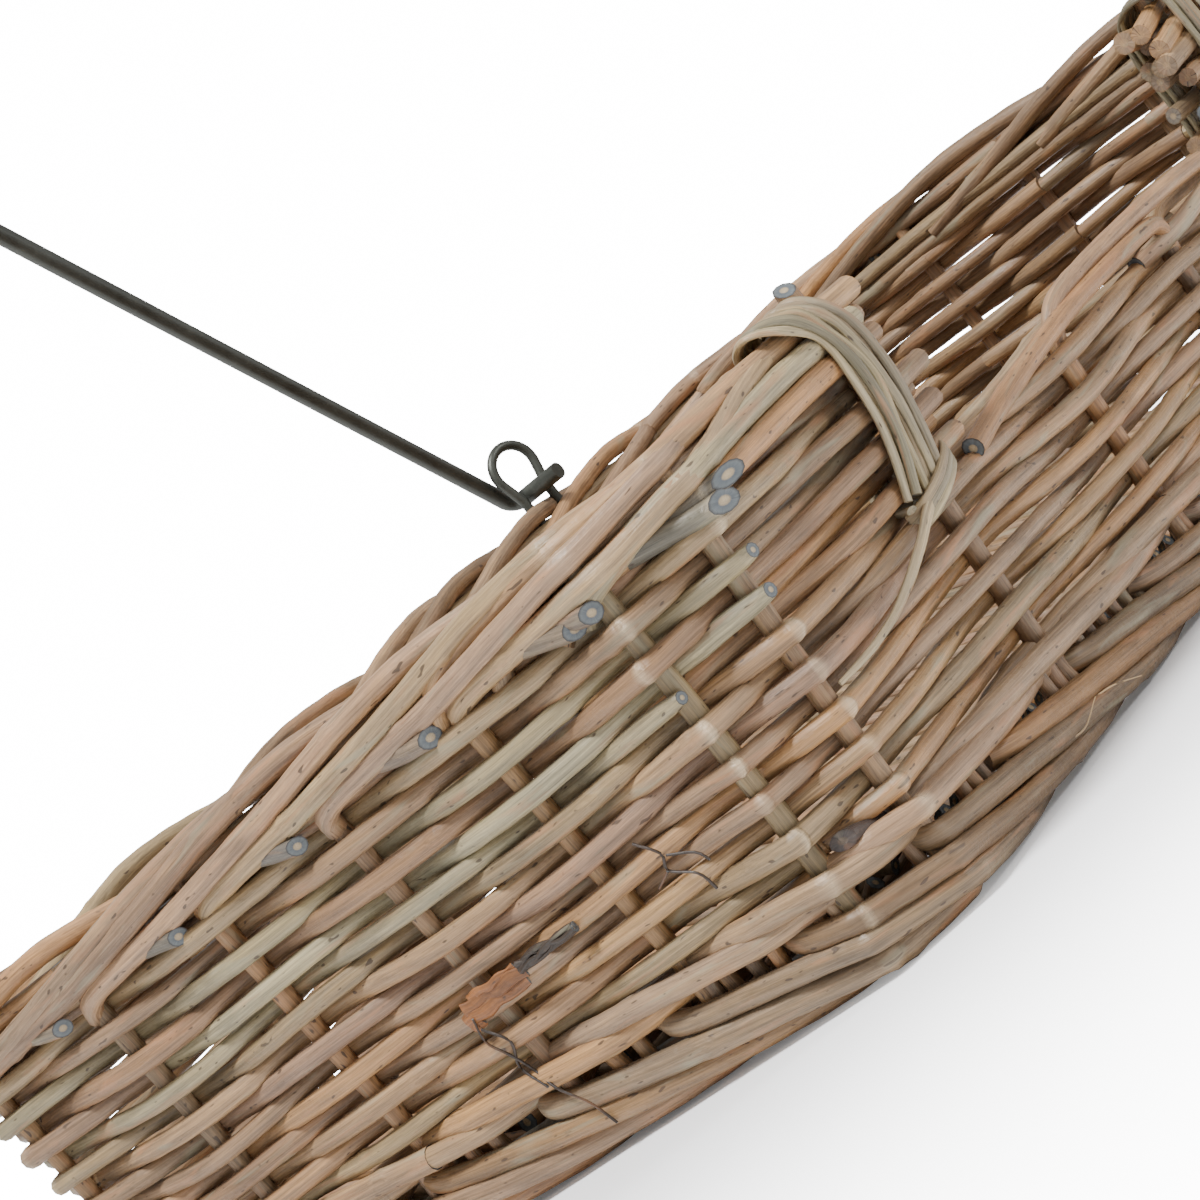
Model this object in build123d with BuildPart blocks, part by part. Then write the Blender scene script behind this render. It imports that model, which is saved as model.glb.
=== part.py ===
"""Rectangular willow basket with a lowered front lip and a swinging steel bail.

The basket stands on its foot border.  X runs along its length, -Y is the wall with the lip,
+Z is up, and the origin is the middle of the underside.  All sizes are in millimetres.
"""
import math
import os

from build123d import *

os.makedirs("parts", exist_ok=True)

# ---------------------------------------------------------------- driving dimensions
HALF_LENGTH = 214.0        # stake line of the end walls, at the rim
HALF_DEPTH = 139.5         # stake line of the long walls, at the rim
END_FLARE = 4.0            # how much further in the end walls stand at the foot
SIDE_FLARE = 8.0           # the same for the long walls
CORNER_X = 19.0            # the corners are cut off between two stakes
CORNER_Y = 18.0
WALL = 12.0                # thickness of the woven wall
BORDER = 14.0              # thickness of the borders and of the wale

FOOT_TOP = 15.0            # levels above the ground
WALE_BASE = 19.0
WALE_TOP = 28.0
WEAVE_TOP = 98.0
RIM_TOP = 118.0
LIP_WEAVE_TOP = 68.0
LIP_TOP = 77.0
FLOOR_BASE = 11.0
FLOOR_TOP = 20.0

END_BAY = 48.5             # spacing of the stakes in the end walls
POST_X = 114.0             # the two posts beside the lip
LIP_STAKES_X = (-33.0, 43.0)
BACK_STAKES_X = (-114.0, -38.0, 38.0, 114.0)
WEAVE_END = 14.0           # how far the weave runs past each post, into the lip

STAKE_RADIUS = 2.5
POST_RADIUS = 2.8
PEG_RADIUS = 2.2
STICK_RADIUS = 3.5
STICK_SPACING = 35.0
STICKS = 7

WIRE_RADIUS = 1.6          # wire eye
EYE_X = 130.0
EYE_LOOP = 7.9             # centre-line radius of the eye's round head
EYE_LEGS = 5.4             # half the distance between its legs
EYE_TURN = -20.0           # the eye's plane, turned about the vertical
EYE_HEAD_ABOVE_PIN = 9.2

ROD_RADIUS = 2.75          # steel bail
PIN_HEIGHT = 122.0
PIN_INSIDE_BACK = 13.0     # each pin passes this far into the basket from its eye
PIN_INSIDE_FRONT = 8.0
PIN_OUTSIDE = 10.0
BAIL_HEIGHT = 285.0
BAIL_LEAN = 45.0           # towards the left end
LEG_TAPER = 10.8           # the legs draw together towards the top
HOOK_BEND = 4.0
SHOULDER_BEND = 40.0

# ---------------------------------------------------------------- derived sizes
END_SPLIT = HALF_LENGTH - END_FLARE - BORDER / 2   # the end walls lie outside this X
LIP_HALF = POST_X - WEAVE_END
STAKE_FOOT = WALE_BASE
STAKE_HEAD = RIM_TOP - 6.0
PEG_FOOT = 4.0
PEG_HEAD = 34.0
FAR = 400.0                # larger than the basket


def flare_at(height):
    """Share of the full flare that is still missing at a height."""
    return (WEAVE_TOP - min(height, WEAVE_TOP)) / (WEAVE_TOP - WALE_TOP)


def half_length(height):
    return HALF_LENGTH - END_FLARE * flare_at(max(height, WALE_TOP))


def half_depth(height):
    return HALF_DEPTH - SIDE_FLARE * flare_at(max(height, WALE_TOP))


def outline(height, grow):
    """Eight-sided plan of the stake line at a height, moved outwards by grow."""
    a = half_length(height) + grow
    b = half_depth(height) + grow
    corner_growth = grow * (2 - math.sqrt(2))
    cx = CORNER_X + corner_growth
    cy = CORNER_Y + corner_growth
    return [(a - cx, -b), (a, cy - b), (a, b - cy), (a - cx, b),
            (cx - a, b), (-a, b - cy), (-a, cy - b), (cx - a, -b)]


def ring(low, high, thickness):
    """A closed band around the basket, between two levels."""
    with BuildPart() as band:
        for level in (low, high):
            with BuildSketch(Plane.XY.offset(level)):
                Polygon(*outline(level, thickness / 2), align=None)
        loft(ruled=True)
        for level in (low, high):
            with BuildSketch(Plane.XY.offset(level)):
                Polygon(*outline(level, -thickness / 2), align=None)
        loft(ruled=True, mode=Mode.SUBTRACT)
    return band.part


def region(low_x, high_x, low_y, high_y, low_z=0.0, high_z=FAR):
    """A box given by its limits, used to take one wall out of a band."""
    size = (high_x - low_x, high_y - low_y, high_z - low_z)
    middle = ((low_x + high_x) / 2, (low_y + high_y) / 2, (low_z + high_z) / 2)
    return Pos(*middle) * Box(*size)


LEFT = region(-FAR, -END_SPLIT, -FAR, FAR)
RIGHT = region(END_SPLIT, FAR, -FAR, FAR)
BACK = region(-END_SPLIT, END_SPLIT, 0, FAR)
FRONT = region(-END_SPLIT, END_SPLIT, -FAR, 0)
FRONT_LEFT = region(-END_SPLIT, -LIP_HALF, -FAR, 0)
FRONT_RIGHT = region(LIP_HALF, END_SPLIT, -FAR, 0)
LIP = region(-LIP_HALF, LIP_HALF, -FAR, 0)


def rod_between(low, high, radius):
    """A straight round rod from one point to another."""
    start = Vector(*low)
    run = Vector(*high) - start
    return Plane(origin=start, z_dir=run) * Cylinder(
        radius, run.length, align=(Align.CENTER, Align.CENTER, Align.MIN))


def end_stake(side, y, foot, head, radius):
    """Stake of an end wall: side is -1 for the left end and +1 for the right end."""
    slope_y = half_depth(foot) / half_depth(WEAVE_TOP) if abs(y) > HALF_DEPTH - CORNER_Y - 1 else 1.0
    return rod_between((side * half_length(foot), y * slope_y, foot),
                       (side * HALF_LENGTH, y, head), radius)


def long_stake(side, x, foot, head, radius):
    """Stake of a long wall: side is -1 for the front and +1 for the back."""
    return rod_between((x, side * half_depth(foot), foot), (x, side * HALF_DEPTH, head), radius)


def grouped(solids, label):
    """Several loose solids of one kind, as one node."""
    group = Compound(children=solids)
    group.label = label
    return group


# ---------------------------------------------------------------- stakes
end_stake_rows = [(row - 1.5) * END_BAY for row in range(4)]
corner_y = HALF_DEPTH - CORNER_Y
corner_x = HALF_LENGTH - CORNER_X

stakes_left = grouped([end_stake(-1, y, STAKE_FOOT, STAKE_HEAD, STAKE_RADIUS)
                       for y in end_stake_rows], "stakes_left")
stakes_right = grouped([end_stake(1, y, STAKE_FOOT, STAKE_HEAD, STAKE_RADIUS)
                        for y in end_stake_rows], "stakes_right")
stakes_back = grouped([long_stake(1, x, STAKE_FOOT, STAKE_HEAD, STAKE_RADIUS)
                       for x in BACK_STAKES_X], "stakes_back")
lip_stakes = grouped([long_stake(-1, x, STAKE_FOOT, LIP_TOP - 3.0, STAKE_RADIUS)
                      for x in LIP_STAKES_X], "lip_stakes")
lip_posts = grouped([long_stake(-1, x, STAKE_FOOT, RIM_TOP + 3.0, POST_RADIUS)
                     for x in (-POST_X, POST_X)], "lip_posts")
corner_stakes = grouped(
    [end_stake(side, y, STAKE_FOOT, STAKE_HEAD, STAKE_RADIUS)
     for side in (-1, 1) for y in (-corner_y, corner_y)]
    + [long_stake(side, x, STAKE_FOOT, STAKE_HEAD, STAKE_RADIUS)
       for side in (-1, 1) for x in (-corner_x, corner_x)], "corner_stakes")
all_stakes = [stakes_left, stakes_right, stakes_back, lip_stakes, lip_posts, corner_stakes]

# ---------------------------------------------------------------- foot pegs
peg_rows = [(row - 2) * END_BAY for row in range(5)]
peg_columns = [(column - 2) * 80.0 for column in range(5)]
foot_pegs = grouped(
    [rod_between((side * half_length(0), y, PEG_FOOT), (side * half_length(0), y, PEG_HEAD), PEG_RADIUS)
     for side in (-1, 1) for y in peg_rows]
    + [rod_between((x, side * half_depth(0), PEG_FOOT), (x, side * half_depth(0), PEG_HEAD), PEG_RADIUS)
       for side in (-1, 1) for x in peg_columns], "foot_pegs")

# ---------------------------------------------------------------- wire eyes and their places
def eye_plane(side):
    """Upright plane of an eye, through its pin: side is -1 for the front and +1 for the back."""
    turn = math.radians(EYE_TURN * side)
    return Plane(origin=(EYE_X, side * HALF_DEPTH, PIN_HEIGHT),
                 x_dir=(math.cos(turn), math.sin(turn), 0),
                 z_dir=(math.sin(turn), -math.cos(turn), 0))


def wire_eye(side):
    """One wire bent to a round head over two straight legs that go down into the rim."""
    neck = -1.0
    legs_end = RIM_TOP - 17.0 - PIN_HEIGHT
    drop = EYE_HEAD_ABOVE_PIN - neck
    reach = math.hypot(EYE_LEGS, drop)
    turn = math.atan2(EYE_LEGS, drop) + math.acos(EYE_LOOP / reach)
    shoulder = (EYE_LOOP * math.sin(turn), EYE_HEAD_ABOVE_PIN - EYE_LOOP * math.cos(turn))
    with BuildPart() as eye:
        with BuildLine(eye_plane(side)) as wire:
            Polyline((-EYE_LEGS, legs_end), (-EYE_LEGS, neck), (-shoulder[0], shoulder[1]))
            ThreePointArc((-shoulder[0], shoulder[1]), (0, EYE_HEAD_ABOVE_PIN + EYE_LOOP), shoulder)
            Polyline(shoulder, (EYE_LEGS, neck), (EYE_LEGS, legs_end))
        with BuildSketch(Plane(origin=wire.line @ 0, z_dir=wire.line % 0)):
            Circle(WIRE_RADIUS)
        sweep(path=wire.line, transition=Transition.ROUND)
    return eye.part


eye_back = wire_eye(1)
eye_back.label = "eye_back"
eye_front = wire_eye(-1)
eye_front.label = "eye_front"

# ---------------------------------------------------------------- bands: foot, wale, weave, rim
def walls(prefix, low, high, thickness, cutters, places):
    """Splits a band into the named walls and takes out what passes through them."""
    band = ring(low, high, thickness)
    made = {}
    for place, cut_out in places.items():
        with BuildPart() as wall:
            add(band)
            add(cut_out, mode=Mode.INTERSECT)
            for cutter in cutters:
                add(cutter, mode=Mode.SUBTRACT)
        wall.part.label = prefix + "_" + place
        made[place] = wall.part
    return made


four_walls = {"left": LEFT, "right": RIGHT, "back": BACK, "front": FRONT}
foot = walls("foot_border", 0, FOOT_TOP, BORDER, [foot_pegs], four_walls)
wale = walls("wale", WALE_BASE, WALE_TOP, BORDER, all_stakes + [foot_pegs], four_walls)
weave = walls("weave", WALE_TOP, WEAVE_TOP, WALL, all_stakes + [foot_pegs],
              {"left": LEFT, "right": RIGHT, "back": BACK,
               "front_left": FRONT_LEFT, "front_right": FRONT_RIGHT,
               "lip": region(-LIP_HALF, LIP_HALF, -FAR, 0, 0, LIP_WEAVE_TOP)})
rim = walls("rim_border", WEAVE_TOP, RIM_TOP, BORDER, all_stakes + [eye_back, eye_front],
            {"left": LEFT, "right": RIGHT, "back": BACK,
             "front_left": FRONT_LEFT, "front_right": FRONT_RIGHT})

# ---------------------------------------------------------------- lip border
lip_line = half_depth((LIP_WEAVE_TOP + LIP_TOP) / 2)
with BuildPart() as lip_border:
    with BuildSketch(Plane.YZ.offset(-LIP_HALF + 4.0)):
        with Locations((-lip_line, (LIP_WEAVE_TOP + LIP_TOP) / 2)):
            RectangleRounded(BORDER, LIP_TOP - LIP_WEAVE_TOP, 3.0)
    extrude(amount=2 * (LIP_HALF - 4.0))
    add(lip_stakes, mode=Mode.SUBTRACT)
lip_border.part.label = "lip_border"

# ---------------------------------------------------------------- lashings of the two posts
LASHING_WIDTH = 10.0
LASHING_THICKNESS = 2.2
LASHING_FOOT = LIP_TOP - 5.0


def lashing(side):
    """Split willow wound over the rim beside a post: side is -1 for the left one."""
    clearance = BORDER / 2 + 0.3
    outer = clearance + LASHING_THICKNESS
    middle_x = side * (POST_X - 1.0)
    with BuildPart() as band:
        with BuildSketch(Plane.YZ.offset(middle_x - LASHING_WIDTH / 2)):
            with Locations((-HALF_DEPTH, (LASHING_FOOT + RIM_TOP + 2.6) / 2)):
                RectangleRounded(2 * outer, RIM_TOP + 2.6 - LASHING_FOOT, 2.0)
            with Locations((-HALF_DEPTH, (LASHING_FOOT - 10 + RIM_TOP + 0.3) / 2)):
                Rectangle(2 * clearance, RIM_TOP + 0.3 - LASHING_FOOT + 10, mode=Mode.SUBTRACT)
        extrude(amount=LASHING_WIDTH)
        for cutter in (lip_posts, weave["front_left"], weave["front_right"]):
            add(cutter, mode=Mode.SUBTRACT)
    return band.part


lashing_left = lashing(-1)
lashing_left.label = "lashing_left"
lashing_right = lashing(1)
lashing_right.label = "lashing_right"

# ---------------------------------------------------------------- base
stick_reach = half_length(0) - BORDER / 2
stick_height = (FLOOR_BASE + FLOOR_TOP) / 2
base_sticks = grouped(
    [rod_between((-stick_reach, (row - (STICKS - 1) / 2) * STICK_SPACING, stick_height),
                 (stick_reach, (row - (STICKS - 1) / 2) * STICK_SPACING, stick_height), STICK_RADIUS)
     for row in range(STICKS)], "base_sticks")
with BuildPart() as base_weave:
    with BuildSketch(Plane.XY.offset(FLOOR_BASE)):
        Polygon(*outline(0, -BORDER / 2), align=None)
    extrude(amount=FLOOR_TOP - FLOOR_BASE)
    add(base_sticks, mode=Mode.SUBTRACT)
base_weave.part.label = "base_weave"

# ---------------------------------------------------------------- bail
lean = math.radians(BAIL_LEAN)
bail_plane = Plane(origin=(EYE_X, 0, PIN_HEIGHT), x_dir=(0, 1, 0),
                   z_dir=(math.cos(lean), 0, math.sin(lean)))
hook_y = HALF_DEPTH + PIN_OUTSIDE
shoulder_y = hook_y - BAIL_HEIGHT * math.tan(math.radians(LEG_TAPER))
with BuildPart() as bail:
    with BuildLine(bail_plane) as rod:
        FilletPolyline(
            (-HALF_DEPTH + PIN_INSIDE_FRONT, 0), (-hook_y, 0), (-shoulder_y, BAIL_HEIGHT),
            (shoulder_y, BAIL_HEIGHT), (hook_y, 0), (HALF_DEPTH - PIN_INSIDE_BACK, 0),
            radius=(HOOK_BEND, SHOULDER_BEND, SHOULDER_BEND, HOOK_BEND))
    with BuildSketch(Plane(origin=rod.line @ 0, z_dir=rod.line % 0)):
        Circle(ROD_RADIUS)
    sweep(path=rod.line)
bail.part.label = "bail"

# ---------------------------------------------------------------- write the parts
pieces = [base_sticks, base_weave.part, foot_pegs, *all_stakes, *foot.values(), *wale.values(),
          *weave.values(), *rim.values(), lip_border.part, lashing_left, lashing_right,
          eye_back, eye_front, bail.part]
for piece in pieces:
    export_step(piece, f"parts/{piece.label}.step")
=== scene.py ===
"""Looks of the rectangular willow basket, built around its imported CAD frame.

Every rod is real geometry.  Places come from the boxes of the CAD nodes; the rods' thicknesses
and small shapes are in millimetres and are turned into metres when a mesh is made.
"""
import math

import bpy
import numpy as np
from mathutils import Matrix, Vector


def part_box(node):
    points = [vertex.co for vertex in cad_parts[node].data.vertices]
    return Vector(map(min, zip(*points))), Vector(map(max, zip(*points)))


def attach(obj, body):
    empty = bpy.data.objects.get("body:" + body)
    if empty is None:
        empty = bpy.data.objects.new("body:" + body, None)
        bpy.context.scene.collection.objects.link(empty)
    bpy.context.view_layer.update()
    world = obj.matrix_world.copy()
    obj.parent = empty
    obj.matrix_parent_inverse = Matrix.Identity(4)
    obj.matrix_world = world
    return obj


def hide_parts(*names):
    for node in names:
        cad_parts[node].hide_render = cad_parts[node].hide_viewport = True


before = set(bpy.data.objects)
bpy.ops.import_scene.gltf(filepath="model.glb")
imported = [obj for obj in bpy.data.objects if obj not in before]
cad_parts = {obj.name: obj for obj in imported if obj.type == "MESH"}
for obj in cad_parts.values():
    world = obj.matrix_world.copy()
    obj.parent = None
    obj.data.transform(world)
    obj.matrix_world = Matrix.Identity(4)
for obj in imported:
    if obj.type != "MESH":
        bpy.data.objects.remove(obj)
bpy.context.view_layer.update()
MM = 1000.0

rng = np.random.default_rng(20261116)


def box_mm(node):
    low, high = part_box(node)
    return np.array(low) * MM, np.array(high) * MM


# ---------------------------------------------------------------- sizes taken from the frame
STAKE = 2.5                                   # stake radius
POST = 2.8                                    # radius of the two posts beside the lip
ROW_PITCH = 4.67                              # from one row of side weave to the next
HUMP = 3.5                                    # the right end's rim rises in its middle
CORNER_STAKES = (195.0, 121.5)                # X on the long sides and Y on the ends

corner_high = box_mm("corner_stakes")[1]
HALF_LENGTH, HALF_DEPTH = corner_high[0] - STAKE, corner_high[1] - STAKE
foot_low, foot_high = box_mm("foot_border_left")
wale_low, wale_high = box_mm("wale_left")
lip_stake_low, lip_stake_high = box_mm("lip_stakes")
post_high = box_mm("lip_posts")[1]
lip_weave_high = box_mm("weave_lip")[1]
floor_low, floor_high = box_mm("base_weave")
stick_low, stick_high = box_mm("base_sticks")

FOOT_TOP = foot_high[2]
WALE_BASE, WALE_TOP = wale_low[2], wale_high[2]
WEAVE_TOP = box_mm("weave_left")[1][2]
RIM_TOP = box_mm("rim_border_left")[1][2]
LIP_WEAVE_TOP, LIP_HALF = lip_weave_high[2], lip_weave_high[0]
LIP_TOP = box_mm("lip_border")[1][2]
POST_X, POST_TOP = post_high[0] - POST, post_high[2]
BORDER = foot_high[0] - foot_low[0]
END_FLARE = HALF_LENGTH - (-foot_low[0] - BORDER / 2)
SIDE_FLARE = HALF_DEPTH - (box_mm("foot_border_back")[1][1] - BORDER / 2)
END_BAY = (box_mm("stakes_left")[1][1] - STAKE) / 1.5
LIP_STAKES = (lip_stake_low[0] + STAKE, lip_stake_high[0] - STAKE)
BACK_STAKE = 38.0                             # X of the two middle stakes of the back


# ---------------------------------------------------------------- the line that all weaving follows
def wall_stakes():
    """Places of the stakes at rim height, from the left post over the left end, the back and the
    right end to the right post."""
    cx, cy = CORNER_STAKES
    rows = [(i - 1.5) * END_BAY for i in range(4)]
    columns = [-POST_X, -BACK_STAKE, BACK_STAKE, POST_X]
    return ([(-POST_X, -HALF_DEPTH), (-cx, -HALF_DEPTH), (-HALF_LENGTH, -cy)]
            + [(-HALF_LENGTH, y) for y in rows] + [(-HALF_LENGTH, cy), (-cx, HALF_DEPTH)]
            + [(x, HALF_DEPTH) for x in columns] + [(cx, HALF_DEPTH), (HALF_LENGTH, cy)]
            + [(HALF_LENGTH, y) for y in reversed(rows)]
            + [(HALF_LENGTH, -cy), (cx, -HALF_DEPTH), (POST_X, -HALF_DEPTH)])


class StakeLine:
    """The closed stake line at rim height.  A place is given by its distance along the line,
    its offset outwards and its height; the walls' flare is added from the height."""
    STEP = 0.5                                # between the samples of the line
    ROUND = 7                                 # samples each side over which a corner's normals turn

    def __init__(self, stakes):
        self.stakes = np.array(stakes, float)
        loop = np.vstack([self.stakes, self.stakes[:1]])
        steps = np.hypot(*np.diff(loop, axis=0).T)
        self.knots = np.concatenate([[0.0], np.cumsum(steps)])
        self.length = self.knots[-1]
        self.loop = loop
        d = np.arange(0, self.length, self.STEP)
        along = np.array([np.interp(d, self.knots, loop[:, i]) for i in (0, 1)]).T
        tangent = np.roll(along, -1, axis=0) - np.roll(along, 1, axis=0)
        normal = np.stack([-tangent[:, 1], tangent[:, 0]], axis=1)
        kernel = np.hanning(2 * self.ROUND + 1)
        kernel /= kernel.sum()
        for i in (0, 1):
            padded = np.concatenate([normal[-self.ROUND:, i], normal[:, i], normal[:self.ROUND, i]])
            normal[:, i] = np.convolve(padded, kernel, "valid")
        normal /= np.linalg.norm(normal, axis=1)[:, None]
        outward = np.sign((normal * along).sum(axis=1).mean())
        self.d, self.along, self.normal = d, along, normal * outward
        self.hump = self.knots[[RIGHT_END[0], RIGHT_END[-1]]]

    def at(self, d, offset, z):
        d = np.mod(np.asarray(d, float), self.length)
        period = self.length
        place = np.array([np.interp(d, self.d, self.along[:, i], period=period) for i in (0, 1)]).T
        normal = np.array([np.interp(d, self.d, self.normal[:, i], period=period) for i in (0, 1)]).T
        missing = (WEAVE_TOP - np.clip(z, WALE_TOP, WEAVE_TOP)) / (WEAVE_TOP - WALE_TOP)
        inward = normal * np.array([END_FLARE, SIDE_FLARE]) * np.reshape(missing, (-1, 1))
        place = place - inward + normal * np.reshape(offset, (-1, 1))
        z = np.broadcast_to(z, d.shape)
        share = np.clip((d - self.hump[0]) / (self.hump[1] - self.hump[0]), 0, 1)
        lift = HUMP * np.sin(math.pi * share) ** 2 * np.clip(z / RIM_TOP, 0, 1) ** 1.5
        return np.column_stack([place, z + lift])


WALL = wall_stakes()
RIGHT_END = [i for i, (x, y) in enumerate(WALL) if x >= CORNER_STAKES[0]]
LOOP = WALL + [(LIP_STAKES[1], -HALF_DEPTH), (LIP_STAKES[0], -HALF_DEPTH)]
line = StakeLine(LOOP)
STAKE_D = line.knots[:-1]                     # distance of each stake along the line
LAST = len(WALL) - 1                          # index of the right post
CORNERS = [i for i, (x, y) in enumerate(WALL)
           if abs(x) == CORNER_STAKES[0] or abs(y) == CORNER_STAKES[1]]


# ---------------------------------------------------------------- rods
def srgb(r, g, b):
    """An 8-bit colour as linear values."""
    def linear(c):
        c /= 255.0
        return c / 12.92 if c <= 0.04045 else ((c + 0.055) / 1.055) ** 2.4
    return np.array([linear(r), linear(g), linear(b)])


PALE_WILLOW = [srgb(162, 131, 97), srgb(148, 121, 93), srgb(168, 132, 93), srgb(152, 129, 101),
               srgb(138, 111, 84), srgb(156, 134, 101), srgb(168, 128, 88), srgb(150, 123, 96),
               srgb(154, 125, 99), srgb(160, 132, 102)]
WARMER = np.array([0.97, 0.93, 0.88])
WILLOW = [colour * WARMER for colour in PALE_WILLOW]
RIM_PALER = [1.16 * colour for colour in WILLOW]       # 1.16 times lighter, for the rods of the rim
SHADED = [0.74 * colour for colour in WILLOW]     # painted shade: darker foot border rods, which sit in shade near the floor
GREY_GREEN = [srgb(162, 147, 115), srgb(152, 138, 110), srgb(166, 146, 112)]
# painted shade: grey-green made darker for the cut ends under the rim and the core rods of the foot
PAINTED_SHADE_GREY = [srgb(112, 104, 90), srgb(122, 107, 88), srgb(104, 98, 88)]


SQUARE = ((0, 0), (0, 0))                     # both ends of a rod cut straight across


def smooth_path(points, step=2.5):
    """A smooth curve through control points (Catmull-Rom), sampled about every step."""
    p = np.asarray(points, float)
    p = np.vstack([2 * p[0] - p[1], p, 2 * p[-1] - p[-2]])
    out = []
    for i in range(1, len(p) - 2):
        span = np.linalg.norm(p[i + 1] - p[i])
        n = max(2, int(round(span / step)))
        t = np.linspace(0, 1, n, endpoint=False)[:, None]
        a, b, c, d = p[i - 1], p[i], p[i + 1], p[i + 2]
        out.append(0.5 * ((2 * b) + (c - a) * t + (2 * a - 5 * b + 4 * c - d) * t ** 2
                          + (3 * b - a - 3 * c + d) * t ** 3))
    return np.vstack(out + [p[-2:-1]])


def relax(path, times=2):
    """Rounds sharp corners of a sampled path a little, keeping its ends."""
    path = path.copy()
    for _ in range(times):
        path[1:-1] = 0.25 * path[:-2] + 0.5 * path[1:-1] + 0.25 * path[2:]
    return path


class Rods:
    """Round rods gathered into one mesh, with the values that the materials read:
    grain (a place along and around the rod), tint, and marks (cut end, radius share, crease)."""

    def __init__(self):
        self.verts, self.quads, self.tris = [], [], []
        self.grain, self.tint, self.marks = [], [], []
        self.count = 0

    def _push(self, verts, grain, tint, marks):
        start = self.count
        self.verts.append(verts)
        self.grain.append(grain)
        self.tint.append(np.broadcast_to(tint, (len(verts), 3)))
        self.marks.append(marks)
        self.count += len(verts)
        return start

    def add(self, path, radius, tint, up=(0, 0, 1), sides=10, crease=None, flat=1.0,
            knots=True, rough=0.03, cut=(1.0, 1.0), slant=SQUARE):
        """Adds one rod along path.  up fixes the first of its two cross directions, flat is its
        thickness along the second as a share, and cut says how grey each cut end is.  slant
        leans each cut face towards the two cross directions."""
        path = np.asarray(path, float)
        n = len(path)
        radius = np.broadcast_to(np.asarray(radius, float), (n,)).copy()
        tangent = np.gradient(path, axis=0)
        tangent /= np.linalg.norm(tangent, axis=1)[:, None]
        up = np.broadcast_to(np.asarray(up, float), path.shape)
        first = up - (up * tangent).sum(axis=1)[:, None] * tangent
        first /= np.linalg.norm(first, axis=1)[:, None]
        second = np.cross(tangent, first)
        s = np.concatenate([[0], np.cumsum(np.linalg.norm(np.diff(path, axis=0), axis=1))])
        angle = np.linspace(0, 2 * math.pi, sides, endpoint=False)
        cos, sin = np.cos(angle), np.sin(angle)
        phase = rng.uniform(0, 6.28, 4)       # of the slow unevenness round and along the rod
        uneven = (np.sin(s[:, None] * 0.21 + angle * 2 + phase[0])
                  + np.sin(s[:, None] * 0.09 - angle + phase[1])
                  + np.sin(s[:, None] * 0.47 + angle * 3 + phase[2])) * rough / 1.6
        share = 1 + uneven
        if knots:
            spot = rng.uniform(10, 60)
            while spot < s[-1]:
                side = rng.uniform(0, 6.28)
                lump = np.exp(-((s[:, None] - spot) / 2.2) ** 2)
                share = share + 0.17 * lump * np.clip(np.cos(angle - side), 0, 1) ** 2
                spot += rng.uniform(45, 120)
        r = radius[:, None] * share
        rings = (path[:, None, :] + (r * cos)[:, :, None] * first[:, None, :]
                 + (r * sin * flat)[:, :, None] * second[:, None, :])
        for end, (lean_first, lean_second) in zip((0, -1), slant):
            reach = min(12.0, s[-1] / 2)
            near = np.clip(1 - np.abs(s - s[end]) / reach, 0, 1)
            shorter = near[:, None] * r * (lean_first * cos + lean_second * sin * flat)
            rings += (1 if end == 0 else -1) * shorter[:, :, None] * tangent[:, None, :]
        shift = rng.uniform(0, 4000)
        grain = np.stack([np.broadcast_to(s[:, None] + shift, r.shape),
                          r * cos + shift * 0.37, r * sin + shift * 0.61], axis=2)
        marks = np.zeros((n, sides, 3))
        marks[:, :, 1] = 1.0
        if crease is not None:
            marks[:, :, 2] = crease[:, None]
        start = self._push(rings.reshape(-1, 3), grain.reshape(-1, 3), tint, marks.reshape(-1, 3))
        i, j = np.meshgrid(np.arange(n - 1), np.arange(sides), indexing="ij")
        k = (j + 1) % sides
        self.quads.append(start + np.stack([i * sides + j, i * sides + k, (i + 1) * sides + k,
                                            (i + 1) * sides + j], axis=2).reshape(-1, 4))
        for end, grey in zip((0, -1), cut):
            self._cap(path[end], rings[end], grain[end], tint,
                      tangent[end] * (-1 if end == 0 else 1), end == 0, grey)

    def _cap(self, centre, ring, grain, tint, outward, first_end, grey):
        """A cut end: wood with a soft pith in the middle."""
        sides, pith = len(ring), 0.42
        inner = centre + (ring - centre) * pith + outward * 0.12
        verts = np.vstack([ring, inner, [centre - outward * 0.15]])
        grains = np.vstack([grain, grain, grain[:1]])
        marks = np.zeros((2 * sides + 1, 3))
        marks[:, 0] = grey
        marks[:sides, 1], marks[sides:2 * sides, 1] = 1.0, pith
        start = self._push(verts, grains, tint, marks)
        j = np.arange(sides)
        k = (j + 1) % sides
        quads = np.stack([j, k, k + sides, j + sides], axis=1)
        tris = np.stack([j + sides, k + sides, np.full(sides, 2 * sides)], axis=1)
        if first_end:
            quads, tris = quads[:, ::-1], tris[:, ::-1]
        self.quads.append(start + quads)
        self.tris.append(start + tris)

    def piece(self, name, material, body, nodes=()):
        """Makes the mesh and lets it ride on a body in place of some CAD nodes."""
        verts = np.vstack(self.verts) / MM
        faces = [f.tolist() for block in self.quads + self.tris for f in block]
        mesh = bpy.data.meshes.new(name)
        mesh.from_pydata(verts.tolist(), [], faces)
        for label, kind, values in (("grain", "FLOAT_VECTOR", np.vstack(self.grain)),
                                    ("marks", "FLOAT_VECTOR", np.vstack(self.marks))):
            layer = mesh.attributes.new(label, kind, "POINT")
            layer.data.foreach_set("vector", values.astype(np.float32).ravel())
        tint = np.ones((len(verts), 4), np.float32)
        tint[:, :3] = np.vstack(self.tint)
        mesh.attributes.new("tint", "FLOAT_COLOR", "POINT").data.foreach_set("color", tint.ravel())
        mesh.polygons.foreach_set("use_smooth", np.ones(len(mesh.polygons), bool))
        mesh.materials.append(material)
        mesh.update()
        obj = bpy.data.objects.new(name, mesh)
        bpy.context.scene.collection.objects.link(obj)
        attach(obj, body)
        if nodes:
            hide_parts(*nodes)
        return obj


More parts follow.
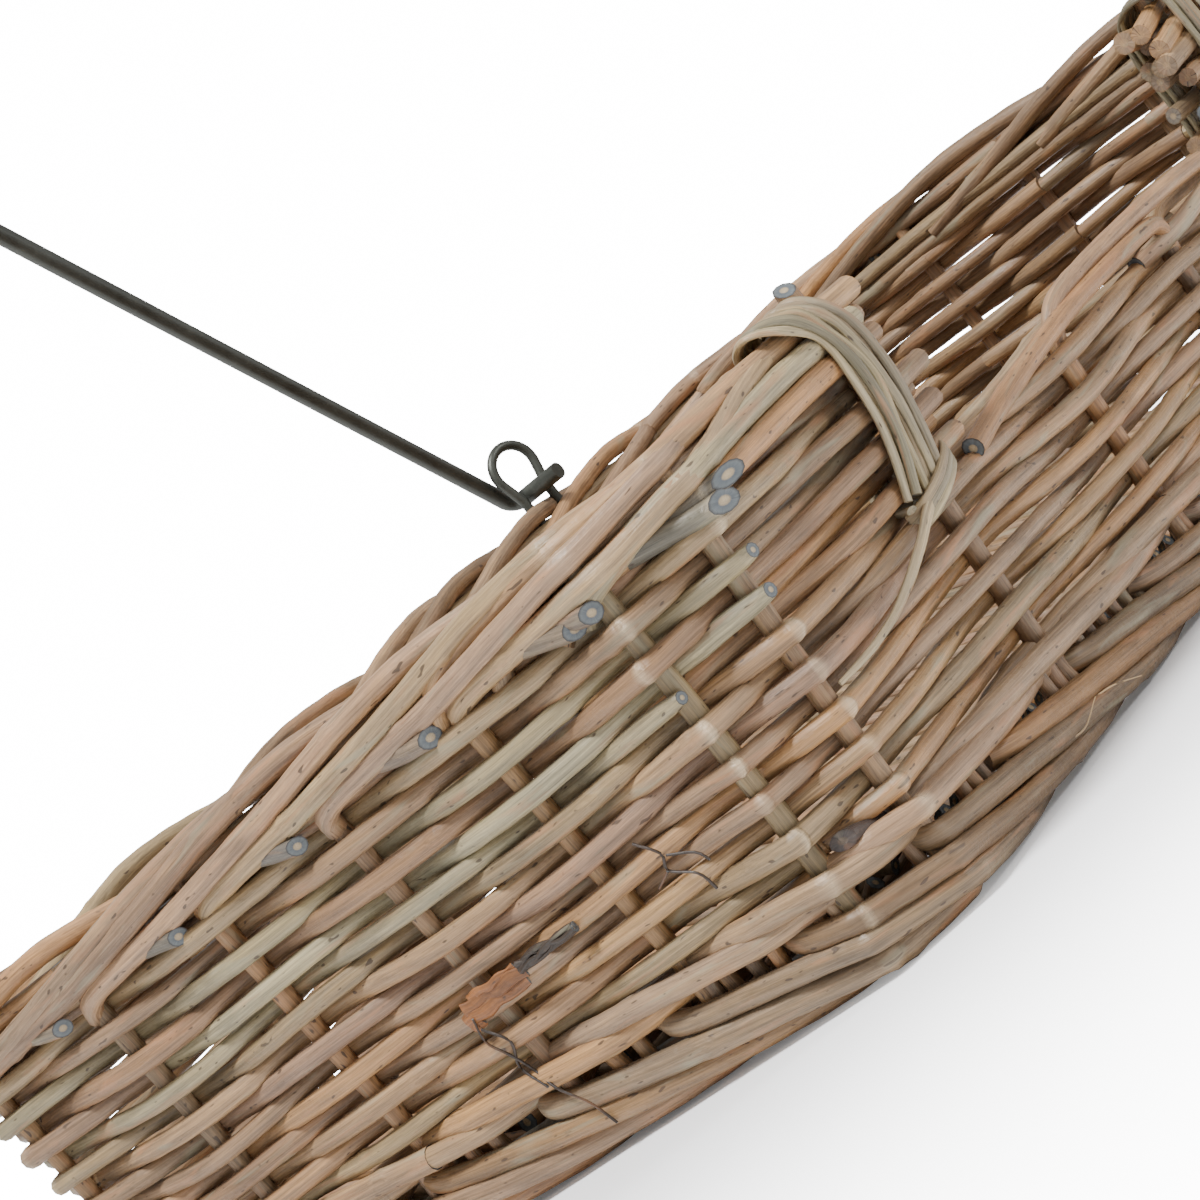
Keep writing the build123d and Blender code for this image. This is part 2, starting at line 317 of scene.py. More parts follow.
def pick(colours, spread=0.08):
    """One of several colours, a little lighter or darker and warmer or cooler."""
    colour = colours[rng.integers(len(colours))] * rng.uniform(1 - 2 * spread, 1 + spread)
    return colour * np.array([1 + rng.uniform(-0.04, 0.04), 1.0, 1 + rng.uniform(-0.06, 0.06)])


# ---------------------------------------------------------------- materials
class Nodes:
    """Short names for building a material's node tree."""

    def __init__(self, name):
        self.material = bpy.data.materials.new(name)
        self.material.use_nodes = True
        self.tree = self.material.node_tree
        self.shader = self.tree.nodes["Principled BSDF"]

    def add(self, kind, **settings):
        node = self.tree.nodes.new("ShaderNode" + kind)
        for key, value in settings.items():
            setattr(node, key, value)
        return node

    def link(self, source, target):
        self.tree.links.new(source, target)

    def attribute(self, name):
        return self.add("Attribute", attribute_name=name)

    def noise(self, vector, scale, detail=3.0, roughness=0.55, distortion=0.0):
        node = self.add("TexNoise")
        node.inputs["Scale"].default_value = scale
        node.inputs["Detail"].default_value = detail
        node.inputs["Roughness"].default_value = roughness
        node.inputs["Distortion"].default_value = distortion
        self.link(vector, node.inputs["Vector"])
        return node.outputs["Fac"]

    def stretch(self, vector, scale):
        node = self.add("Mapping")
        node.inputs["Scale"].default_value = scale
        self.link(vector, node.inputs["Vector"])
        return node.outputs["Vector"]

    def ramp(self, value, stops):
        node = self.add("ValToRGB")
        ramp = node.color_ramp
        while len(ramp.elements) < len(stops):
            ramp.elements.new(0.5)
        for element, (position, colour) in zip(ramp.elements, stops):
            element.position = position
            element.color = (*colour, 1.0) if hasattr(colour, "__len__") else (colour,) * 3 + (1.0,)
        self.link(value, node.inputs["Fac"])
        return node.outputs["Color"]

    def mix(self, factor, a, b, mode="MIX"):
        node = self.add("Mix", data_type="RGBA", blend_type=mode)
        for value, target in ((factor, node.inputs[0]), (a, node.inputs[6]), (b, node.inputs[7])):
            if hasattr(value, "is_linked"):
                self.link(value, target)
            elif hasattr(value, "__len__"):
                target.default_value = (*value, 1.0)
            else:
                target.default_value = value
        return node.outputs[2]

    def math(self, operation, a, b=0.0):
        node = self.add("Math", operation=operation)
        for value, target in ((a, node.inputs[0]), (b, node.inputs[1])):
            if hasattr(value, "is_linked"):
                self.link(value, target)
            else:
                target.default_value = value
        return node.outputs[0]

    def bump(self, height, strength, distance, normal=None):
        node = self.add("Bump")
        node.inputs["Strength"].default_value = strength
        node.inputs["Distance"].default_value = distance
        self.link(height, node.inputs["Height"])
        if normal is not None:
            self.link(normal, node.inputs["Normal"])
        return node.outputs["Normal"]


def willow_material(name, darker=1.0, roughness=0.4):
    """Washed willow rod: fine streaks along the rod, paler worn stretches, grey and rusty stains,
    dark specks, pale creases with a painted highlight where a rod is bent hard, and grey cut ends with
    a pale pith."""
    n = Nodes(name)
    grain = n.attribute("grain").outputs["Vector"]
    tint = n.attribute("tint").outputs["Color"]
    marks = n.add("SeparateXYZ")
    n.link(n.attribute("marks").outputs["Vector"], marks.inputs[0])
    cut, radial, crease = marks.outputs
    streaks = n.noise(n.stretch(grain, (0.035, 1.5, 1.5)), 1.0, 5.0, 0.62)
    fibres = n.noise(n.stretch(grain, (0.16, 5.0, 5.0)), 1.0, 3.0, 0.6)
    patches = n.noise(n.stretch(grain, (0.03, 0.16, 0.16)), 1.0, 3.0, 0.6, 0.6)
    stains = n.noise(n.stretch(grain, (0.018, 0.12, 0.12)), 1.7, 2.0, 0.5, 1.0)
    specks = n.noise(n.stretch(grain, (0.24, 0.7, 0.7)), 1.0, 1.0, 0.5)
    colour = n.mix(1.0, tint, n.ramp(streaks, [(0.3, 0.55), (0.5, 0.93), (0.68, 1.25)]), "MULTIPLY")
    colour = n.mix(1.0, colour, n.ramp(fibres, [(0.35, 0.86), (0.65, 1.12)]), "MULTIPLY")
    colour = n.mix(1.0, colour, n.ramp(patches, [(0.32, (0.74, 0.76, 0.80)), (0.52, (1.0, 1.0, 1.0)),
                                                 (0.7, (1.16, 1.13, 1.02))]), "MULTIPLY")
    colour = n.mix(n.ramp(stains, [(0.58, 0.0), (0.74, 0.55)]), colour,
                   tuple(srgb(176, 124, 84) * darker))
    colour = n.mix(n.ramp(stains, [(0.26, 0.5), (0.4, 0.0)]), colour,
                   tuple(srgb(150, 146, 122) * darker))
    colour = n.mix(n.ramp(specks, [(0.7, 0.0), (0.75, 0.8)]), colour, tuple(srgb(62, 48, 38)))
    if darker != 1.0:
        colour = n.mix(1.0, colour, (darker,) * 3, "MULTIPLY")
    # pale where a rod is bent hard, partly a painted highlight along the ridge of the crease
    crease_highlight = n.math("MULTIPLY", crease, n.ramp(fibres, [(0.3, 0.45), (0.6, 1.0)]))
    colour = n.mix(crease_highlight, colour, tuple(srgb(220, 198, 164)))
    wood = n.ramp(radial, [(0.0, srgb(208, 186, 150)), (0.3, srgb(190, 168, 134)),
                           (0.44, srgb(96, 104, 110)), (0.8, srgb(112, 118, 120)),
                           (1.0, srgb(58, 54, 50))])
    colour = n.mix(cut, colour, n.mix(0.5, wood, n.mix(1.0, wood, streaks, "MULTIPLY")))
    n.link(colour, n.shader.inputs["Base Color"])
    rough = n.ramp(patches, [(0.3, roughness + 0.16), (0.7, roughness - 0.06)])
    n.link(rough, n.shader.inputs["Roughness"])
    wrinkles = n.noise(n.stretch(grain, (0.5, 0.7, 0.7)), 1.0, 2.0, 0.5)
    normal = n.bump(streaks, 0.35, 0.0006)
    normal = n.bump(fibres, 0.30, 0.00025, normal)
    normal = n.bump(wrinkles, 0.3, 0.0008, normal)
    folds = n.noise(n.stretch(grain, (1.1, 0.5, 0.5)), 1.0, 2.0, 0.6)
    normal = n.bump(n.math("MULTIPLY", folds, crease), 0.8, 0.0022, normal)
    n.link(normal, n.shader.inputs["Normal"])
    n.shader.inputs["Specular IOR Level"].default_value = 0.5
    return n.material


def steel_material(name, colour):
    """Dark lacquered steel: small uneven patches in the lacquer, faint draw marks and dust."""
    n = Nodes(name)
    place = n.add("TexCoord").outputs["Object"]
    cloud = n.noise(place, 90.0, 4.0, 0.6)
    dust = n.noise(place, 900.0, 3.0, 0.7)
    body = n.ramp(cloud, [(0.3, colour * 0.75), (0.55, colour), (0.8, colour * 1.45)])
    n.link(n.mix(n.ramp(dust, [(0.6, 0.0), (0.75, 0.35)]), body, tuple(srgb(120, 118, 108))),
           n.shader.inputs["Base Color"])
    n.link(n.ramp(cloud, [(0.3, 0.34), (0.7, 0.52)]), n.shader.inputs["Roughness"])
    n.link(n.bump(dust, 0.12, 0.0002, n.bump(cloud, 0.1, 0.0006)), n.shader.inputs["Normal"])
    n.shader.inputs["Metallic"].default_value = 0.55
    return n.material


willow = willow_material("washed_willow")
willow_inner = willow_material("washed_willow_base", darker=0.9, roughness=0.52)
split_skin = willow_material("split_willow", roughness=0.42)


# ---------------------------------------------------------------- side weave
NEAR_A_CORNER = np.arange(-3.6, 3.7, 0.45)    # closer samples, before and after a corner stake
PRESSED_IN = 0.62                             # share of a stake's radius that stands between rods


def weft(rods, row_z, first, last, in_front, radius_butt, radius_tip, tint, ends=(9.0, 9.0),
         step=2.4, slant=SQUARE):
    """One weaving rod that runs from stake number first to stake number last, in front of the
    stakes for which in_front(number) is true and behind the others.  ends says how far it runs
    past them.  A rod with a slant is cut off in sight, and its cut end springs off the wall."""
    count = len(STAKE_D)
    numbers = np.arange(first, last + 1)
    knots = np.array([STAKE_D[i % count] + line.length * (i // count) for i in numbers])
    start, stop = knots[0] - ends[0], knots[-1] + ends[1]
    d = np.arange(start, stop + step / 2, step)
    for number, place in zip(numbers, knots):
        if number % count in CORNERS:
            d = np.append(d, place + NEAR_A_CORNER)
    d = np.unique(np.round(d[(d >= start) & (d <= stop)], 2))
    radius = np.interp(d, [start, stop], [radius_butt, radius_tip])
    side = np.array([1.0 if in_front(i % count) else -1.0 for i in numbers])
    k = np.clip(np.searchsorted(knots, d) - 1, 0, len(knots) - 2)
    t = np.clip((d - knots[k]) / (knots[k + 1] - knots[k]), 0, 1)
    ease = t * t * (3 - 2 * t)
    share = side[k] * (1 - ease) + side[k + 1] * ease
    cut_off = bool(np.any(slant))
    if cut_off:
        radius = radius * (1 - 0.3 * np.exp(-(d - start) / 3.0))
    offset = share * (PRESSED_IN * STAKE + radius) + cut_off * 2.4 * np.exp(-(d - start) / 2.2)
    phase = rng.uniform(0, 6.28, 2)
    settle = math.sin(math.pi * (row_z - WALE_TOP) / (WEAVE_TOP - WALE_TOP))
    z = (row_z + settle * (1.5 * np.sin(d * 2 * math.pi * 3 / line.length + row_z * 0.02)
                           + 0.9 * np.sin(d * 2 * math.pi * 11 / line.length + row_z * 0.035))
         + 0.32 * np.sin(d * 0.031 + phase[0]) + 0.22 * np.sin(d * 0.085 + phase[1]))
    path = relax(line.at(d, offset, z), 1)
    # creases at the corner stakes that the rod passes in front of: a small bulge, and pale colour that
    # is partly a painted highlight
    crease = np.zeros(len(d))
    for number, place, outside in zip(numbers, knots, side):
        if number % count in CORNERS and outside > 0 and not (cut_off and number == first):
            spot = place + rng.uniform(-1.1, 1.1)
            crease = np.maximum(crease, np.exp(-((d - spot) / 0.5) ** 2) * rng.uniform(0.2, 0.9))
            radius = radius * (1 + 0.05 * np.exp(-((d - spot) / 1.0) ** 2))
            path[:, :2] += (line.at(d, offset + 1, z) - line.at(d, offset, z))[:, :2] \
                * (0.35 * np.exp(-((d - spot) / 1.0) ** 2))[:, None]
    cut = (1.0, 1.0) if cut_off else rng.choice([0.2, 0.5, 1.0], 2)
    rods.add(path, radius, tint, crease=crease, cut=cut, slant=slant)


def row_of_wefts(rods, row_z, parity, first, last, butt=2.7, tip=2.4, past=(9.0, 9.0), cut_at=None):
    """A whole row, made of several rods that overlap a little where one ends.  Rods end behind
    stakes, except for one that may be cut off in front of stake number cut_at."""
    def in_front(i):
        return (i + parity) % 2 != 0

    here = first
    while here < last:
        there = here + int(rng.integers(5, 10))
        if here == first and cut_at is not None:
            there = cut_at
        elif in_front(there):
            there += 1
        if last - there < 3:
            there = last
        thick, thin = butt * rng.uniform(0.88, 1.08), tip * rng.uniform(0.9, 1.12)
        if rng.random() < 0.5:
            thick, thin = thin, thick
        ends = [rng.uniform(3, 6), rng.uniform(3, 6)]
        slant = SQUARE
        passes = in_front
        if here == first:
            ends[0] = past[0] + rng.uniform(-3, 3)
        elif here == cut_at:
            ends[0] = rng.uniform(0.5, 2.5)
            slant = ((0, -1.3 if cut_at == 1 else -0.5), (0, 0))
        if there == last:
            ends[1] = past[1] + rng.uniform(-3, 3)
        if there == cut_at:                    # goes behind, where the next rod is cut off in front
            def passes(i):
                return in_front(i) and i != cut_at
        tint = pick(GREY_GREEN if here == cut_at else WILLOW)
        weft(rods, row_z, here, there, passes, thick, thin, tint, ends, slant=slant)
        here = there


weave = Rods()
rows = int(round((WEAVE_TOP - WALE_TOP) / ROW_PITCH))
lip_rows = int(round((LIP_WEAVE_TOP - WALE_TOP) / ROW_PITCH))
CUT_IN_FRONT = {rows - 3: 1, rows - 5: 1, rows - 7: 1, rows - 6: 2}     # row: stake
for row in range(rows):
    z = WALE_TOP + (row + 0.5) * ROW_PITCH
    if row < lip_rows:
        turn = int(rng.integers(6, 20))
        turn += (turn + row) % 2
        row_of_wefts(weave, z, row, turn, turn + len(STAKE_D), past=(4.0, 4.0))
    else:
        row_of_wefts(weave, z, row, 0, LAST, past=(18.0, 18.0), cut_at=CUT_IN_FRONT.get(row))
weave.piece("side_weave", willow, "basket",
            ["weave_left", "weave_right", "weave_back", "weave_front_left", "weave_front_right",
             "weave_lip"])

# ---------------------------------------------------------------- wale
# three thick rods run along together, each in front of every third stake
wale = Rods()
wale_middle = (WALE_BASE + WALE_TOP) / 2
around = np.append(STAKE_D, line.length)
for phase in range(3):
    turn = 5 + 3 * phase
    for part in range(4):
        first, last = turn + part * len(STAKE_D) / 4, turn + (part + 1) * len(STAKE_D) / 4
        k = np.arange(first - 0.12, last + 0.12, 0.045)
        d = np.interp(np.mod(k, len(STAKE_D)), np.arange(len(around)), around)
        wave = 2 * math.pi * (k - phase) / 3
        out = 4.9 * np.clip(0.35 + 1.3 * np.cos(wave), -1, 1)
        z = wale_middle + 2.1 * np.sin(wave) + 0.4 * np.sin(k * 1.3 + rng.uniform(0, 6))
        # creases at the corners on the outer side: pale colour that is partly a painted highlight
        crease = np.zeros(len(k))
        for corner in CORNERS:
            crease = np.maximum(crease, 0.45 * np.exp(-((d - STAKE_D[corner]) / 1.2) ** 2) * (out > 0))
        wale.add(relax(line.at(d, out, z), 1), np.linspace(3.05, 2.75, len(k)), pick(WILLOW),
                 crease=crease, sides=12)
wale.piece("wale", willow, "basket", ["wale_left", "wale_right", "wale_back", "wale_front"])

# ---------------------------------------------------------------- stakes and pegs
stakes = Rods()
for number, d in enumerate(STAKE_D):
    is_post = number in (0, LAST)
    top = POST_TOP + 3 if is_post else (LIP_TOP - 4 if number > LAST else RIM_TOP - 7)
    lean = rng.uniform(-2.0, 2.0)
    heights = np.arange(WALE_BASE - 7, top + 0.1, 3.0)
    share = (heights - heights[0]) / (heights[-1] - heights[0])
    path = line.at(d + lean * (1 - share) * (0 if is_post else 1), np.zeros(len(heights)), heights)
    radius = (POST if is_post else STAKE * 1.04) * rng.uniform(0.95, 1.05)
    stakes.add(path, radius, pick(WILLOW), up=(0.6, 0.8, 0),
               slant=((0, 0), (-0.7, 0)) if is_post else SQUARE)
stakes.piece("stakes", willow, "basket",
             ["stakes_left", "stakes_right", "stakes_back", "lip_stakes", "lip_posts",
              "corner_stakes"])

pegs = Rods()
d = 4.0
while d < line.length - 8:
    lean = rng.uniform(-2.5, 2.5)
    heights = np.arange(FOOT_TOP - 8, WALE_TOP - 3, 2.0)
    share = (heights - heights[0]) / (heights[-1] - heights[0])
    pegs.add(line.at(d + lean * share, np.full(len(heights), rng.uniform(-0.5, 1.5)), heights),
             rng.uniform(1.7, 2.3), pick(WILLOW) * 0.9, up=(0.6, 0.8, 0))
    d += rng.choice([5.5, 6.5, 8.0, 19.0, 26.0])
# the dark end of a rod between the two stakes of the front left corner
between = (STAKE_D[1] + STAKE_D[2]) / 2
pegs.add(line.at(between + np.array([4.5, 1.5, -2.0, -6.0]), np.array([5.6, 4.6, 2.6, -0.5]),
                 WALE_TOP + np.array([0.9, 0.2, -1.0, -2.4])),
         2.1, srgb(62, 48, 40), slant=((0, 1.2), (0, 0)), cut=(0.1, 0.1))
pegs.piece("foot_pegs", willow, "basket", ["foot_pegs"])


# ---------------------------------------------------------------- rolled borders
def rolled_border(rods, starts, length, profile, radius, colours, limits=None, sides=12,
                  cut=(0.25, 0.35), slant=SQUARE):
    """Rods that start one after another along the line and roll over the border together.
    profile lists (distance, offset outwards, height); they run against the line's direction."""
    runs, offsets, heights = np.array(profile, float).T
    runs = runs * length / runs[-1]
    for start in starts:
        wobble = rng.uniform(-1, 1, (3, len(runs)))
        control = np.column_stack([start - runs + wobble[0] * 2.0, offsets + wobble[1] * 0.35,
                                   heights + wobble[2] * 0.55])
        curve = smooth_path(control, 1.8)
        if limits is not None:
            low, high = limits[0] - rng.uniform(-5, 5), limits[1] + rng.uniform(-4, 4)
            curve = curve[(curve[:, 0] >= low) & (curve[:, 0] <= high)]
            if len(curve) < 12:
                continue
        path = relax(line.at(curve[:, 0], curve[:, 1], curve[:, 2]), 1)
        thick = radius * rng.uniform(0.94, 1.08)
        taper = np.linspace(thick, thick * 0.88, len(path))
        # creases at the corners on the outer side: a small bulge, and pale colour that is partly a
        # painted highlight
        crease = np.zeros(len(path))
        for corner in CORNERS:
            spot = STAKE_D[corner] + rng.uniform(-3.5, 3.5)
            near = np.exp(-((curve[:, 0] - spot) / 1.2) ** 2) * (curve[:, 1] > -1)
            crease = np.maximum(crease, near * rng.uniform(0.0, 0.45))
            taper = taper * (1 + 0.06 * near)
        rods.add(path, taper, pick(colours), crease=crease, sides=sides, cut=cut, slant=slant)


def level(out, z):
    """The profile of a core rod inside a border, which keeps its offset and its height."""
    return [(run, out, z) for run in (0, 100, 220, 345)]


RIM = WEAVE_TOP
rim = Rods()
over_the_rim = [(0, 0.0, RIM - 2.5), (6, 3.2, RIM + 2.4), (48, 4.7, RIM + 6.0),
                (88, 4.5, RIM + 10.8), (118, 2.8, RIM + 15.0), (148, -0.4, RIM + 17.0),
                (178, -3.6, RIM + 14.0), (206, -4.8, RIM + 9.0), (238, -4.6, RIM + 3.4)]
post_gap = (-20.0, STAKE_D[LAST] + 18.0)
starts = ([STAKE_D[i] for i in range(3, LAST + 1)]
          + [STAKE_D[LAST] + 46.0 * i for i in (1, 2, 3, 4)])
rolled_border(rim, starts, 240.0, over_the_rim, 3.0, RIM_PALER, limits=post_gap)
for out, high in ((0.6, 4.5), (-4.4, 5.5), (-0.4, 11.0), (-3.8, 1.2)):
    rolled_border(rim, [STAKE_D[LAST] + 18.0 - i * 330 for i in range(4)], 345.0,
                  level(out, RIM + high), 2.7, WILLOW, limits=post_gap)
# towards the left post the rods lie side by side: the stake where each starts, its offset and its
# height there and at the post, its colour, and how far past the post it ends
side_by_side = [(0, 3.6, 3.4, 4.8, 5.6, RIM_PALER[6], 4.0),
                (1, 3.4, 4.0, 4.6, 11.2, GREY_GREEN[0], 7.0),
                (2, 3.0, 8.0, 1.6, 16.6, RIM_PALER[0], 19.0),
                (1.6, -1.0, 6.0, -4.4, 12.4, RIM_PALER[3], 15.0),
                (1.2, -2.0, 2.0, -4.6, 6.8, WILLOW[1], 10.0)]
for first, out_0, high_0, out_1, high_1, colour, past in side_by_side:
    d0 = np.interp(first + 1, np.arange(len(STAKE_D)), STAKE_D)
    curve = smooth_path([(d0 + 5, 0.5, RIM - 1), (d0 - 1, out_0, RIM + high_0),
                         (d0 - 26, out_1, RIM + (high_0 + 2 * high_1) / 3),
                         (d0 * 0.35 - 6, out_1, RIM + high_1),
                         (-past, out_1, RIM + high_1 - 0.6)], 2.5)
    # creases at the front corner stakes on the outer side: pale colour that is partly a painted
    # highlight
    near = sum(np.exp(-((curve[:, 0] - STAKE_D[c] - rng.uniform(-3, 3)) / 1.3) ** 2) for c in (1, 2))
    rim.add(relax(line.at(*curve.T), 1), np.linspace(2.75, 2.95, len(curve)), colour,
            crease=near * 0.3 * (curve[:, 1] > 0), sides=12)
# cut ends below the rim, coloured darker as painted shade
pith_ends = [(0.0, -0.8, RIM + 8.0), (12.0, 3.0, RIM + 3.6), (28.0, 5.9, RIM + 0.4)]
ends_at = [STAKE_D[i] + 34.0 for i in range(3, LAST)] + [STAKE_D[2] + d for d in (35.0, 27.0)]
rolled_border(rim, ends_at, 28.0, pith_ends, 2.6, PAINTED_SHADE_GREY, cut=(1.0, 1.0), slant=((0, 0), (0, 0.7)))
for out, high in ((7.4, 0.4), (8.0, 3.8)):
    rolled_border(rim, [STAKE_D[1] + 18.0 - 1.6 * high], 18.0,
                  [(0, 1.0, RIM + 5.0), (11, 3.6, RIM + 0.6 * high + 2.0), (18, out, RIM + high)],
                  2.7, PAINTED_SHADE_GREY, cut=(1.0, 1.0), slant=((0, 0), (0, 2.2)))
rim.piece("rim_border", willow, "basket",
          ["rim_border_left", "rim_border_right", "rim_border_back", "rim_border_front_left",
           "rim_border_front_right"])

foot = Rods()
under_the_foot = [(0, -1.0, FOOT_TOP + 3.6), (8, 3.2, FOOT_TOP + 0.6), (40, 4.9, FOOT_TOP - 3.4),
                  (76, 4.4, FOOT_TOP - 8.0), (108, 2.2, 3.9), (136, -1.6, 3.6), (160, -4.4, 7.0),
                  (188, -4.2, 12.0)]
foot_rods = int(line.length // 42.0)
# the foot border's rods take the colours darkened as painted shade
rolled_border(foot, [i * line.length / foot_rods for i in range(foot_rods)], 192.0, under_the_foot,
              3.05, SHADED)
# core rods of the foot, in the same darker grey painted as shade
for out, high in ((0.2, 5.0), (-2.8, 11.5), (0.6, 10.4)):
    rolled_border(foot, [i * line.length / 4 for i in range(4)], line.length / 4 + 12,
                  level(out, high), 2.5, PAINTED_SHADE_GREY)
foot.piece("foot_border", willow, "basket",
           ["foot_border_left", "foot_border_right", "foot_border_back", "foot_border_front"])


# ---------------------------------------------------------------- lip border
def along_lip(points):
    """Control points (x, offset outwards, height) on the front wall, as places."""
    points = np.array(points, float)
    missing = (WEAVE_TOP - np.clip(points[:, 2], WALE_TOP, WEAVE_TOP)) / (WEAVE_TOP - WALE_TOP)
    y = -(HALF_DEPTH - SIDE_FLARE * missing + points[:, 1])
    return np.column_stack([points[:, 0], y, points[:, 2]])


lip = Rods()
left_stake, right_stake = LIP_STAKES
lip_rods = [
    [(-LIP_HALF + 2, 5.0, 68), (-70, 4.6, 71.5), (left_stake, 4.4, 74.5), (5, 4.2, 75.5),
     (right_stake - 6, 3.4, 74.5), (right_stake, 1.0, 70), (right_stake + 1, 0.0, 62)],
    [(left_stake, 0.0, 66), (left_stake + 1, 1.4, 74), (left_stake + 8, 2.2, 78.2), (0, 2.0, 79.6),
     (right_stake, 2.4, 79.5), (80, 3.0, 77.5), (LIP_HALF - 3, 3.4, 75.5)],
    [(right_stake, 0.0, 66), (right_stake + 1, -1.0, 72), (right_stake + 9, -2.4, 75.5),
     (80, -3.2, 75.0), (POST_X - 2, -4.0, 73.0)],
    [(-LIP_HALF - 12, -4.6, 71), (-60, -3.8, 72.2), (left_stake, -3.4, 74.0), (10, -3.6, 74.5),
     (60, -4.4, 71.5)],
    [(right_stake - 14, -3.0, 69.0), (right_stake + 6, 3.0, 69.6), (75, 4.8, 71.5),
     (LIP_HALF + 8, 4.6, 71.0)],
]
for control in lip_rods:
    path = relax(smooth_path(along_lip(control), 2.5), 2)
    lip.add(path, np.linspace(2.75, 2.35, len(path)), pick(WILLOW), sides=12, up=(0, 0.35, 0.94))
lip.piece("lip_border", willow, "basket", ["lip_border"])


# ---------------------------------------------------------------- lashings
def strand(rods, points, radii, up=(1, 0, 0.12), flat=0.55):
    """One strand of split willow on the front wall, half as thick as it is wide."""
    path = relax(smooth_path(along_lip(points), 1.5), 1)
    tint = pick(GREY_GREEN, 0.12) * rng.choice([0.72, 0.9, 1.0])
    rods.add(path, np.linspace(*radii, len(path)), tint, up=up, flat=flat, sides=8, knots=False,
             rough=0.09, cut=(0.2, 0.2))


STRANDS = 8                                   # in a lashing's band


def lashing(side):
    """Split willow strands wound over the rim beside a post, gathered by a knot at the foot."""
    rods = Rods()
    # each turn: (height, offset outwards, from, to) of the left and right edge of the band
    turns = [(70, 6.4, -20, -5), (84, 7.6, -15, -1), (98, 8.2, -14, 0), (110, 8.2, -15, -1),
             (117.5, 7.2, -23, -6), (120.6, 1.5, -29, -8), (118.0, -5.5, -24, -5),
             (108, -8.2, -14, 2), (90, -8.0, -10, 4), (72, -6.4, -12, 0)]
    if side > 0:                               # upright, clear of the bail's pin and its eye
        turns = [(z, out, -8, 7) for z, out, *_ in turns]
    for i in range(STRANDS):
        share = i / (STRANDS - 1)
        cross = rng.uniform(-1.6, 1.6, len(turns))
        lift = 1.0 * (i % 2)
        loop = [(side * (POST_X - (left + (right - left) * share + c)),
                 out + (lift if out > 0 else -lift), z + rng.uniform(-0.8, 0.8))
                for (z, out, left, right), c in zip(turns, cross)]
        thick = rng.uniform(1.15, 1.85)
        strand(rods, loop + [(loop[0][0], 5.8, 68.5)], (thick, thick))
    for i in range(3):
        low = 65.5 + i * 1.6
        knot = [(-21, 3.6, low - 1.5), (-18, 7.6, low - 0.8), (-8, 8.8, low + 1.4),
                (1, 7.8, low + 4.2), (6, 4.4, low + 5.6), (8, -2.0, low + 5.0)]
        strand(rods, [(side * (POST_X - x), out, z) for x, out, z in knot], (1.35, 1.35), up=(0, 0, 1))
    tail = [(-4, 7.6, 70), (-18, 8.0, 66.4), (-32, 7.8, 61.0), (-50, 7.6, 56.0), (-66, 7.2, 54.2),
            (-80, 5.6, 54)]
    strand(rods, [(side * (POST_X - x), out, z) for x, out, z in tail], (1.9, 0.7), up=(0, 0, 1),
           flat=0.45)
    name = "lashing_left" if side < 0 else "lashing_right"
    rods.piece(name, split_skin, "basket", [name])


for side in (-1, 1):
    lashing(side)

# ---------------------------------------------------------------- bits of bark and fibre
def wall_place(y, z, out):
    """A place on the left wall, by its Y, its height and its offset outwards."""
    d = np.interp(y, [WALL[i][1] for i in range(2, 8)], STAKE_D[2:8])
    return line.at(np.atleast_1d(d), np.atleast_1d(float(out)), np.atleast_1d(float(z)))[0]


BARK, FIBRE, PALE_FIBRE = srgb(138, 88, 48), srgb(52, 42, 34), srgb(190, 160, 120)
bark = Rods()
bark_strips = ((-19, -42, 44.0, 1.7), (-21, -43, 46.4, 1.9), (-24, -41, 48.2, 1.1),
               (-19, -23, 42.2, 1.3))         # from Y, to Y, height, half width
for y0, y1, z, width in bark_strips:
    run = np.linspace(0, 1, 16)
    path = np.array([wall_place(y0 + (y1 - y0) * t, z + 0.25 * math.sin(15 * t + z),
                                6.7 + 0.35 * math.sin(7 * t + z)) for t in run])
    bark.add(path, width * (0.92 + 0.08 * np.sin(run * 23 + z)),
             BARK * rng.uniform(0.6, 1.1), flat=0.2, sides=8, knots=False, rough=0.12)
bark.piece("bark_flake", willow, "basket")

# threads, as (Y, height, offset outwards) on the left wall
threads = Rods()
hanging = [[(-22, 44, 7.4), (-20, 38, 7.2), (-23, 33, 7.6), (-24, 27, 6.0), (-28, 21, 8.4),
            (-33, 14, 8.6), (-35, 7, 8.2)],
           [(-22, 41, 7.6), (-26, 35, 7.6), (-22, 29, 6.6), (-26, 22, 8.2)],
           [(-90, 55, 7.0), (-94, 50, 7.2), (-92, 46, 6.6), (-98, 42, 7.2), (-99, 37, 7.0)],
           [(-95, 49, 7.3), (-101, 46, 7.0), (-103, 43, 7.4)],
           [(-92, 46, 7.0), (-87, 44, 6.8)]]
matted = []
for i in range(12):
    sway = rng.uniform(-1.2, 1.2, 6)
    matted.append([(y, 47.6 + sway[j], 6.7 + 0.5 * sway[-1 - j])
                   for j, y in enumerate(range(-42, -67, -5))])
for number, points in enumerate(hanging + matted):
    path = smooth_path([wall_place(*place) for place in points], 1.2)
    thick = 0.36 if number < len(hanging) else rng.uniform(0.45, 0.9)
    threads.add(path, thick, FIBRE * rng.uniform(0.8, 1.6), sides=6, knots=False, rough=0.15)
for x, out, z, lean in ((-120, 5, 9, 1.0), (-140, 5, 8, -0.6)):
    fibre = along_lip([(x, out, z), (x + 6, out + 3, z - 1), (x + 13, out + 6, z - 4 * lean)])
    path = smooth_path(fibre, 1.5)
    threads.add(path, np.linspace(0.28, 0.12, len(path)), PALE_FIBRE, sides=6, knots=False)
threads.piece("loose_fibres", willow, "basket")

